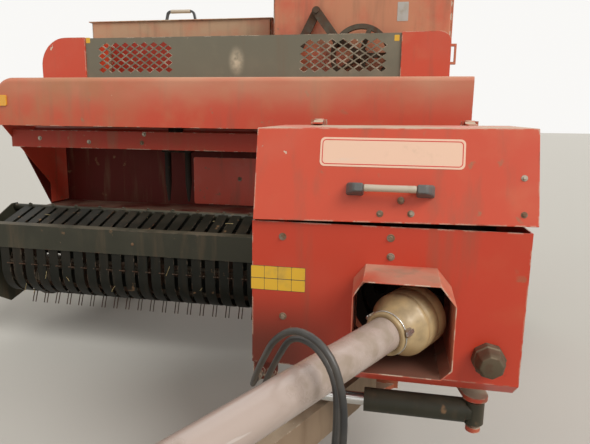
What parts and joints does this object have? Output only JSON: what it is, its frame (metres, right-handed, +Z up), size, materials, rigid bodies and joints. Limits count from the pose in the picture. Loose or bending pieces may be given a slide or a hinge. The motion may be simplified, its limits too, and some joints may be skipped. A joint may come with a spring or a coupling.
{
  "type": "hay baler with side feed",
  "caption": "Towed hay baler with a tined side pick-up, packer feed, knotters over a long bale chamber, twine boxes and a swinging drawbar with its drive shaft.",
  "frame": {"origin": "centre of the machine's plan outline, on the ground", "axes": "+Y towards the rear, along the bale chamber; +X to the machine's left; +Z up"},
  "size_m": [2.8485, 5.2574, 1.94],
  "materials": {
    "red_paint": "worn, dusty",
    "grey_paint": "worn, matt",
    "drawbar_paint": "dusty",
    "frame_paint": "dusty",
    "bare_steel": "dull, rusting",
    "cast_iron": "oily",
    "dark_paint": "oily, dusty",
    "rim_paint": "worn",
    "tyre_rubber": "dusty",
    "hose_rubber": "satin",
    "coupling_steel": "dusty",
    "guard_plastic": "scuffed",
    "bell_plastic": "dusty"
  },
  "bodies": {
    "frame": {"bale_chamber": "red_paint", "plunger": "bare_steel", "main_frame": "frame_paint", "front_member": "red_paint", "axle_beam": "frame_paint", "stub_axles": "frame_paint", "bulkhead": "red_paint", "gearbox": "cast_iron", "front_guard": "red_paint", "pto_cowl": "red_paint", "hinge_leaves": "red_paint", "feed_table": "red_paint", "feeder_rails": "bare_steel", "packer_forks": "bare_steel", "front_beam": "red_paint", "mesh_guard": "grey_paint", "guard_hoods": "red_paint", "tall_box": "red_paint", "low_box": "red_paint", "upper_supports": "red_paint", "feeder_crank": "bare_steel", "needle_guard": "frame_paint", "knotters": "cast_iron", "density_beams": "red_paint", "density_screws": "bare_steel", "hose_long": "hose_rubber", "hose_short": "hose_rubber"},
    "flywheel": {"flywheel": "cast_iron"},
    "front_lid": {"front_lid": "red_paint", "lid_handle": "bare_steel"},
    "pto_shaft": {"pto_bell": "bell_plastic", "guard_tube": "guard_plastic", "front_guard_tube": "guard_plastic", "drive_shaft": "bare_steel"},
    "drawbar": {"drawbar": "drawbar_paint", "hitch_eye": "red_paint", "shaft_cradle": "grey_paint", "jack_tube": "drawbar_paint", "hose_holder": "grey_paint", "hose_couplings": "coupling_steel"},
    "jack_leg": {"jack_leg": "bare_steel"},
    "swing_barrel": {"swing_barrel": "dark_paint"},
    "swing_rod": {"swing_rod": "bare_steel"},
    "wheel_left": {"tyre_left": "tyre_rubber", "rim_left": "rim_paint"},
    "wheel_right": {"tyre_right": "tyre_rubber", "rim_right": "rim_paint"},
    "feeder_wheel": {"feeder_wheel": "bare_steel"},
    "tall_box_door": {"tall_box_door": "red_paint"},
    "low_box_lid": {"low_box_lid": "red_paint", "low_box_grip": "bare_steel"},
    "pickup": {"pickup_frame": "grey_paint", "pickup_crossbar": "grey_paint", "pickup_bands": "grey_paint"},
    "pickup_reel": {"pickup_reel": "bare_steel"},
    "gauge_wheel": {"gauge_wheel": "tyre_rubber"},
    "needle_yoke": {"needle_yoke": "bare_steel"},
    "knotter_shaft": {"knotter_shaft": "bare_steel"},
    "metering_wheel": {"metering_wheel": "bare_steel"},
    "bale_chute": {"bale_chute": "red_paint"}
  },
  "joints": [
    {"name": "drawbar_swing", "type": "hinge", "parent": "frame", "child": "drawbar", "pos_m": [0.575, -0.65, 0.3], "axis": [0, 0, 1], "range_deg": [0, 25], "deforming": ["hose_long", "hose_short"]},
    {"name": "pto_swing", "type": "hinge", "parent": "frame", "child": "pto_shaft", "pos_m": [0.716, -1.142, 0.713], "axis": [0, 0, 1], "range_deg": [0, 34.3]},
    {"name": "barrel_swing", "type": "hinge", "parent": "frame", "child": "swing_barrel", "pos_m": [0.905, -1, 0.4], "axis": [0, 0, 1], "range_deg": [-1, 9]},
    {"name": "rod_slide", "type": "slide", "parent": "swing_barrel", "child": "swing_rod", "axis": [-1, 0, 0], "range_m": [-0.17, 0]},
    {"name": "jack_slide", "type": "slide", "parent": "drawbar", "child": "jack_leg", "axis": [0, 0, 1], "range_m": [0, 0.2]},
    {"name": "flywheel_spin", "type": "hinge", "parent": "frame", "child": "flywheel", "pos_m": [0.716, -0.9, 0.713], "axis": [0, 1, 0], "continuous": true},
    {"name": "wheel_left_spin", "type": "hinge", "parent": "frame", "child": "wheel_left", "pos_m": [1.292, 1, 0.38], "axis": [1, 0, 0], "continuous": true},
    {"name": "wheel_right_spin", "type": "hinge", "parent": "frame", "child": "wheel_right", "pos_m": [-1.152, 1, 0.38], "axis": [1, 0, 0], "continuous": true},
    {"name": "feeder_wheel_spin", "type": "hinge", "parent": "frame", "child": "feeder_wheel", "pos_m": [0.46, 0.3, 1.533], "axis": [0, 1, 0], "continuous": true},
    {"name": "metering_wheel_spin", "type": "hinge", "parent": "frame", "child": "metering_wheel", "pos_m": [0.64, 1.935, 1.15], "axis": [1, 0, 0], "continuous": true},
    {"name": "knotter_spin", "type": "hinge", "parent": "frame", "child": "knotter_shaft", "pos_m": [0.64, 1.66, 1.235], "axis": [1, 0, 0], "continuous": true},
    {"name": "front_lid_lift", "type": "hinge", "parent": "frame", "child": "front_lid", "pos_m": [0.64, -0.664, 1.192], "axis": [-1, 0, 0], "range_deg": [0, 75]},
    {"name": "tall_box_door_open", "type": "hinge", "parent": "frame", "child": "tall_box_door", "pos_m": [0.907, 0.836, 1.5], "axis": [0, 0, 1], "range_deg": [0, 110]},
    {"name": "low_box_lid_lift", "type": "hinge", "parent": "frame", "child": "low_box_lid", "pos_m": [-0.59, 0.862, 1.769], "axis": [-1, 0, 0], "range_deg": [0, 100]},
    {"name": "pickup_lift", "type": "hinge", "parent": "frame", "child": "pickup", "pos_m": [-0.565, 0.4, 0.56], "axis": [1, 0, 0], "range_deg": [0, 18]},
    {"name": "pickup_reel_spin", "type": "hinge", "parent": "pickup", "child": "pickup_reel", "pos_m": [-0.565, 0.085, 0.415], "axis": [1, 0, 0], "continuous": true},
    {"name": "gauge_wheel_spin", "type": "hinge", "parent": "pickup", "child": "gauge_wheel", "pos_m": [-1.37, 0.32, 0.275], "axis": [1, 0, 0], "continuous": true},
    {"name": "needle_lift", "type": "hinge", "parent": "frame", "child": "needle_yoke", "pos_m": [0.64, 1.2, 0.88], "axis": [1, 0, 0], "range_deg": [0, 56]},
    {"name": "bale_chute_fold", "type": "hinge", "parent": "frame", "child": "bale_chute", "pos_m": [0.64, 2.224, 0.681], "axis": [1, 0, 0], "range_deg": [0, 85]}
  ],
  "couplings": [
    {"joint": "pto_swing", "follows": "drawbar_swing", "ratio": 1.368},
    {"joint": "barrel_swing", "follows": "drawbar_swing", "ratio": 0.35},
    {"joint": "rod_slide", "follows": "drawbar_swing", "m_per_rad": -0.375}
  ]
}
